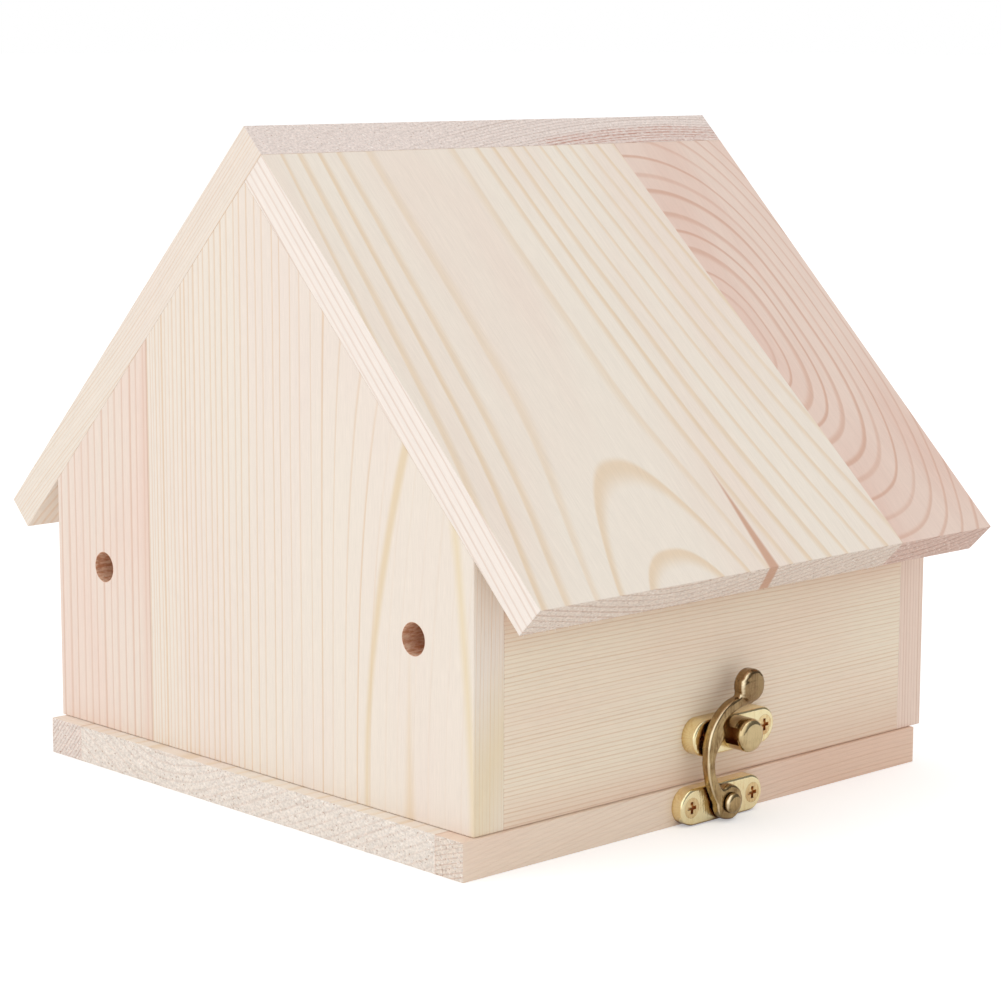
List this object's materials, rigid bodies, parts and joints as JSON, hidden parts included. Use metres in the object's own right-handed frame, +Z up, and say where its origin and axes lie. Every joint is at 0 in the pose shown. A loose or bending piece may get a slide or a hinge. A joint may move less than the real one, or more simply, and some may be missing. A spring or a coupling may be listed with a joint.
{
  "type": "hanging bird feeder",
  "caption": "Small gabled pine house that hangs up to feed or shelter birds, with a hinged floor held shut by a brass swing hook latch.",
  "frame": {"origin": "centre of the floor board's underside", "axes": "+Z up; +X towards the side with the latch, with the hinges on the -X side; -Y towards the rear gable with the two hanging holes; +Y towards the front gable with the way in"},
  "size_m": [0.1958, 0.1915, 0.1601],
  "materials": {
    "pale_pine": "unfinished planed pine, cream with honey growth lines",
    "pink_pine": "unfinished planed pine heartwood, slightly pink",
    "fine_pine": "unfinished planed pine with fine straight grain",
    "floor_pine": "unfinished sawn and planed pine",
    "dowel_wood": "turned hardwood dowel, unfinished",
    "bright_brass": "polished brass plating",
    "aged_brass": "antique brass plating, worn bright on its edges",
    "screw_brass": "brass-plated steel, darker in the cross slot",
    "hinge_brass": "pressed sheet brass"
  },
  "bodies": {
    "house": {"rear_gable_narrow_stave": "pink_pine", "rear_gable_wide_stave": "pale_pine", "front_gable": "pale_pine", "perch_dowel": "dowel_wood", "latch_side_wall": "fine_pine", "hinge_side_wall": "fine_pine", "hinge_side_roof": "pale_pine", "latch_side_roof_wide_stave": "pale_pine", "latch_side_roof_narrow_stave": "pink_pine", "latch_keeper": "bright_brass", "keeper_screws": "screw_brass", "rear_hinge_wall_leaf": "hinge_brass", "front_hinge_wall_leaf": "hinge_brass", "rear_hinge_pin": "hinge_brass", "front_hinge_pin": "hinge_brass", "hinge_wall_screws": "screw_brass"},
    "floor": {"floor_hinge_stave": "floor_pine", "floor_middle_stave": "floor_pine", "floor_latch_stave": "floor_pine", "latch_pivot_plate": "bright_brass", "latch_rivet": "aged_brass", "pivot_plate_screws": "screw_brass", "rear_hinge_floor_leaf": "hinge_brass", "front_hinge_floor_leaf": "hinge_brass", "hinge_floor_screws": "screw_brass"},
    "hook": {"latch_hook": "aged_brass"}
  },
  "joints": [
    {"name": "floor_hinge", "type": "hinge", "parent": "house", "child": "floor", "pos_m": [-0.0795, 0, 0.0075], "axis": [0, 1, 0], "range_deg": [0, 175]},
    {"name": "hook_pivot", "type": "hinge", "parent": "floor", "child": "hook", "pos_m": [0.0825, 0.0022, 0.0045], "axis": [1, 0, 0], "range_deg": [-8, 65]}
  ]
}
